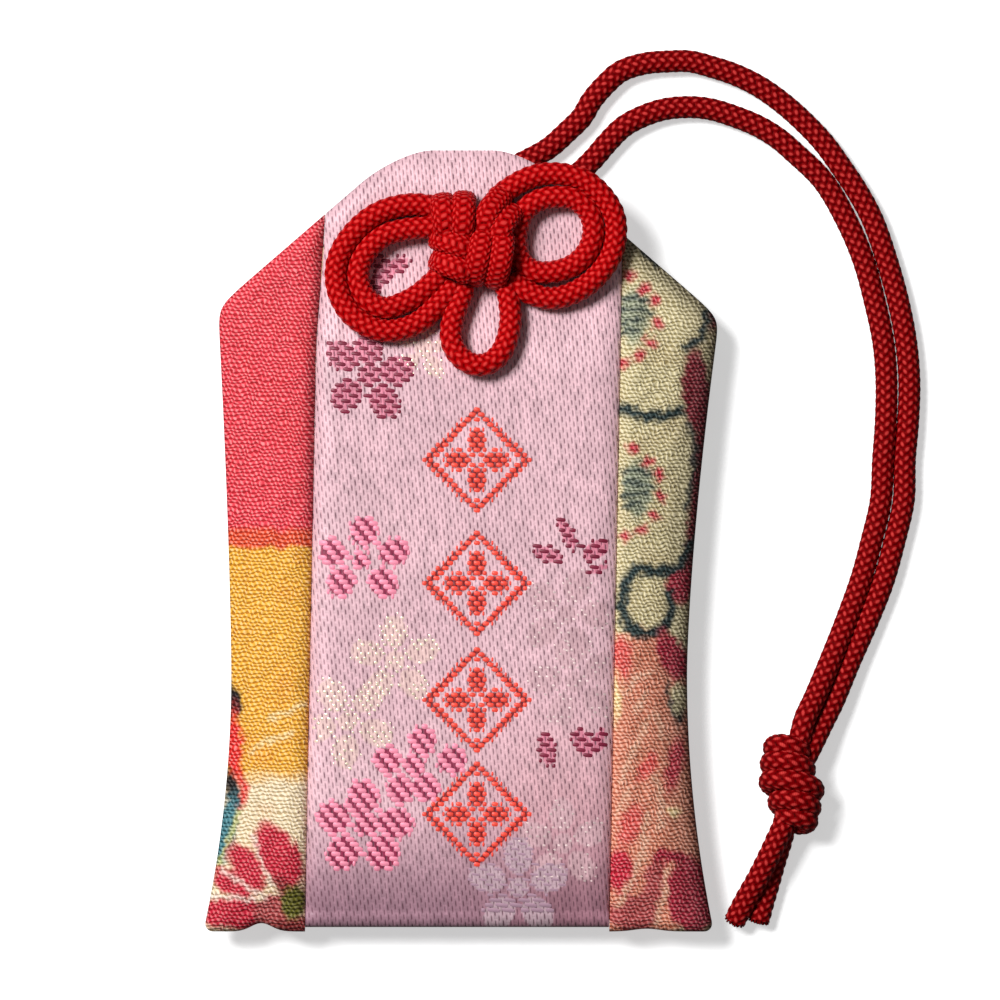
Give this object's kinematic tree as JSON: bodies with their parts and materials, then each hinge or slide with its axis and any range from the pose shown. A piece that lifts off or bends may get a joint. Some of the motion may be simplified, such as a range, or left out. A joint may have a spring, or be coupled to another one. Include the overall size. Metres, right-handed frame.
{
  "type": "omamori charm",
  "caption": "Flat padded pouch charm of brocade and crepe with a tied cord bow on its face and a knotted carrying loop, for hanging on a bag.",
  "frame": {"origin": "centre of the pouch's box at its back, where it lies on the table", "axes": "+X to the right of the face, +Y to the top edge of the pouch, +Z out of the face"},
  "size_m": [0.064, 0.079, 0.0093],
  "materials": {
    "brocade": "satin brocade, pale lilac with woven blossoms",
    "crepe_left": "crinkled crepe, printed in coral, gold and crimson",
    "crepe_right": "crinkled crepe, printed in cream, burgundy and peach",
    "thread": "matte sewing thread",
    "cord": "round braided cord with a silky sheen",
    "card": "plain grey-brown card",
    "wadding": "soft wadding",
    "paper": "folded paper",
    "slip_wood": "bare planed wood"
  },
  "bodies": {
    "pouch": {"brocade_strip": "brocade", "side_panel_left": "crepe_left", "side_panel_right": "crepe_right", "seam_thread_left": "thread", "seam_thread_right": "thread", "core_card": "card", "wadding_sheet": "wadding", "paper_wrapper": "paper", "talisman_slip": "slip_wood", "cord_lead_left": "cord", "cord_lead_right": "cord", "bow_knot": "cord"},
    "bow_left": {"bow_loop_left_outer": "cord", "bow_loop_left_inner": "cord"},
    "bow_right": {"bow_loop_right_outer": "cord", "bow_loop_right_inner": "cord"},
    "bow_bottom": {"bow_loop_bottom": "cord"},
    "carry_loop": {"strand_outer": "cord", "strand_inner": "cord", "end_knot": "cord", "tail_left": "cord", "tail_right": "cord"}
  },
  "joints": [
    {"name": "carry_loop_swing", "type": "hinge", "parent": "pouch", "child": "carry_loop", "pos_m": [0.0008, 0.0272, 0.00103], "axis": [0, 0, 1], "range_deg": [0, 110]},
    {"name": "bow_left_lift", "type": "hinge", "parent": "pouch", "child": "bow_left", "pos_m": [-0.0028, 0.0254, 0.00775], "axis": [0, 1, 0], "range_deg": [0, 40]},
    {"name": "bow_right_lift", "type": "hinge", "parent": "pouch", "child": "bow_right", "pos_m": [0.0042, 0.0268, 0.00775], "axis": [0, -1, 0], "range_deg": [0, 40]},
    {"name": "bow_bottom_lift", "type": "hinge", "parent": "pouch", "child": "bow_bottom", "pos_m": [0.0022, 0.0216, 0.0076], "axis": [-1, 0, 0], "range_deg": [0, 40]}
  ]
}
